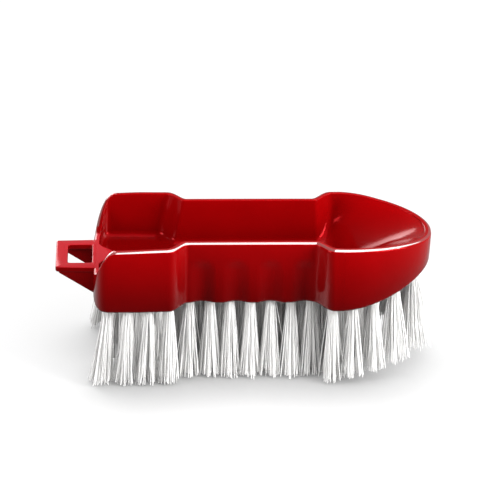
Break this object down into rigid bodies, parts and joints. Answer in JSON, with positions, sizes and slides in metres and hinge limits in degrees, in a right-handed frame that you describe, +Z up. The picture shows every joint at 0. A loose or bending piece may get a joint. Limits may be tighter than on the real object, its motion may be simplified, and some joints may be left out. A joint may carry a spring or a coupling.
{
  "type": "laundry brush",
  "caption": "Laundry scrubbing brush: boat-shaped open-tub grip with a finger-scalloped waist, pointed nose and hanging loop, over long bristle tufts.",
  "frame": {"origin": "under the middle of the brush, on the surface that the bristle tips stand on", "axes": "+X from the hanging loop to the nose, +Y across to the far side, +Z up out of the open tub"},
  "size_m": [0.1716, 0.0646, 0.0684],
  "materials": {
    "red_plastic": "glossy moulded",
    "white_bristle": "satin filament"
  },
  "bodies": {
    "root": {"brush_body": "red_plastic", "front_tuft_01": "white_bristle", "front_tuft_02": "white_bristle", "front_tuft_03": "white_bristle", "front_tuft_04": "white_bristle", "front_tuft_05": "white_bristle", "front_tuft_06": "white_bristle", "front_tuft_07": "white_bristle", "front_tuft_08": "white_bristle", "front_tuft_09": "white_bristle", "front_tuft_10": "white_bristle", "front_tuft_11": "white_bristle", "front_tuft_12": "white_bristle", "front_tuft_13": "white_bristle", "front_tuft_14": "white_bristle", "front_tuft_15": "white_bristle", "front_tuft_16": "white_bristle", "front_inner_tuft_01": "white_bristle", "front_inner_tuft_02": "white_bristle", "front_inner_tuft_03": "white_bristle", "front_inner_tuft_04": "white_bristle", "front_inner_tuft_05": "white_bristle", "front_inner_tuft_06": "white_bristle", "front_inner_tuft_07": "white_bristle", "front_inner_tuft_08": "white_bristle", "front_inner_tuft_09": "white_bristle", "front_inner_tuft_10": "white_bristle", "front_inner_tuft_11": "white_bristle", "front_inner_tuft_12": "white_bristle", "front_inner_tuft_13": "white_bristle", "back_tuft_01": "white_bristle", "back_tuft_02": "white_bristle", "back_tuft_03": "white_bristle", "back_tuft_04": "white_bristle", "back_tuft_05": "white_bristle", "back_tuft_06": "white_bristle", "back_tuft_07": "white_bristle", "back_tuft_08": "white_bristle", "back_tuft_09": "white_bristle", "back_tuft_10": "white_bristle", "back_tuft_11": "white_bristle", "back_tuft_12": "white_bristle", "back_tuft_13": "white_bristle", "back_tuft_14": "white_bristle", "back_tuft_15": "white_bristle", "back_tuft_16": "white_bristle", "back_inner_tuft_01": "white_bristle", "back_inner_tuft_02": "white_bristle", "back_inner_tuft_03": "white_bristle", "back_inner_tuft_04": "white_bristle", "back_inner_tuft_05": "white_bristle", "back_inner_tuft_06": "white_bristle", "back_inner_tuft_07": "white_bristle", "back_inner_tuft_08": "white_bristle", "back_inner_tuft_09": "white_bristle", "back_inner_tuft_10": "white_bristle", "back_inner_tuft_11": "white_bristle", "back_inner_tuft_12": "white_bristle", "back_inner_tuft_13": "white_bristle", "nose_tuft": "white_bristle"}
  },
  "joints": []
}
